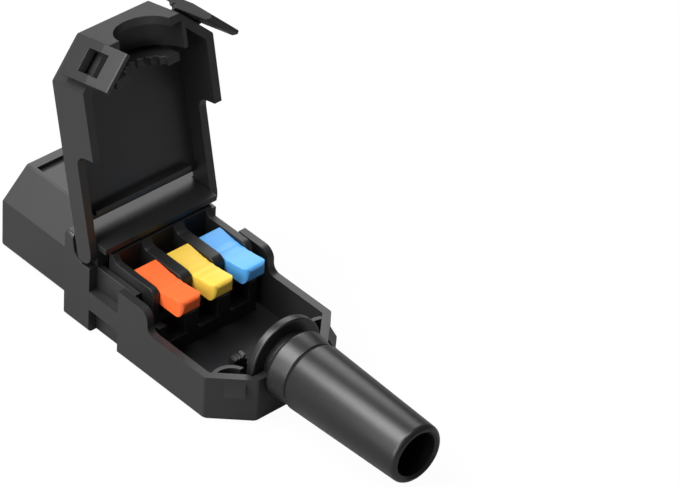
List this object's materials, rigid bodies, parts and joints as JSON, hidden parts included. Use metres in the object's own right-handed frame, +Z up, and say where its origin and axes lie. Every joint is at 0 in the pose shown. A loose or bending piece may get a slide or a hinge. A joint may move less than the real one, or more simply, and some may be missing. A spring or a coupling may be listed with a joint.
{
  "type": "mains power connector, IEC 60320 C13, rewirable",
  "caption": "Rewirable C13 mains connector, lid open, with lever terminals, corner latches and a cord sleeve.",
  "frame": {"origin": "middle of the length, on the flat underside, midway between the line and neutral sides", "axes": "+X from the mating face to the cord, +Y towards the neutral pole, +Z up"},
  "size_m": [0.0946, 0.03, 0.0584],
  "materials": {
    "shell_black": "satin",
    "inner_black": "satin",
    "sleeve_black": "gloss",
    "orange_plastic": "satin",
    "yellow_plastic": "satin",
    "blue_plastic": "satin",
    "copper_alloy": "satin",
    "steel": "satin"
  },
  "bodies": {
    "housing": {"nose_housing": "shell_black", "rear_tray": "shell_black", "lever_frame": "inner_black", "lever_axle": "steel", "terminal_base": "inner_black", "contact_retainer": "inner_black", "contact_line": "copper_alloy", "contact_earth": "copper_alloy", "contact_neutral": "copper_alloy", "bar_line": "copper_alloy", "bar_earth": "copper_alloy", "bar_neutral": "copper_alloy", "spring_line": "steel", "spring_earth": "steel", "spring_neutral": "steel", "cord_sleeve": "sleeve_black", "cord_grip_lower": "inner_black"},
    "cover": {"lid": "shell_black", "cord_grip_upper": "inner_black"},
    "line_lever": {"lever_line": "orange_plastic"},
    "earth_lever": {"lever_earth": "yellow_plastic"},
    "neutral_lever": {"lever_neutral": "blue_plastic"},
    "line_latch": {"latch_line_side": "shell_black"},
    "neutral_latch": {"latch_neutral_side": "shell_black"}
  },
  "joints": [
    {"name": "lid_hinge", "type": "hinge", "parent": "housing", "child": "cover", "pos_m": [-0.0226, 0, 0.0164], "axis": [0, -1, 0], "range_deg": [-103, 0]},
    {"name": "line_lever_hinge", "type": "hinge", "parent": "housing", "child": "line_lever", "pos_m": [-0.013, -0.0073, 0.0126], "axis": [0, -1, 0], "range_deg": [0, 85]},
    {"name": "earth_lever_hinge", "type": "hinge", "parent": "housing", "child": "earth_lever", "pos_m": [-0.013, 0, 0.0126], "axis": [0, -1, 0], "range_deg": [0, 85]},
    {"name": "neutral_lever_hinge", "type": "hinge", "parent": "housing", "child": "neutral_lever", "pos_m": [-0.013, 0.0073, 0.0126], "axis": [0, -1, 0], "range_deg": [0, 85]},
    {"name": "line_latch_hinge", "type": "hinge", "parent": "cover", "child": "line_latch", "pos_m": [-0.02645, -0.01121, 0.05308], "axis": [0.1559, -0.7207, -0.6755], "range_deg": [0, 8], "stiffness_Nm_per_rad": 0.02},
    {"name": "neutral_latch_hinge", "type": "hinge", "parent": "cover", "child": "neutral_latch", "pos_m": [-0.02645, 0.01121, 0.05308], "axis": [-0.1559, -0.7207, 0.6755], "range_deg": [0, 8], "stiffness_Nm_per_rad": 0.02}
  ]
}
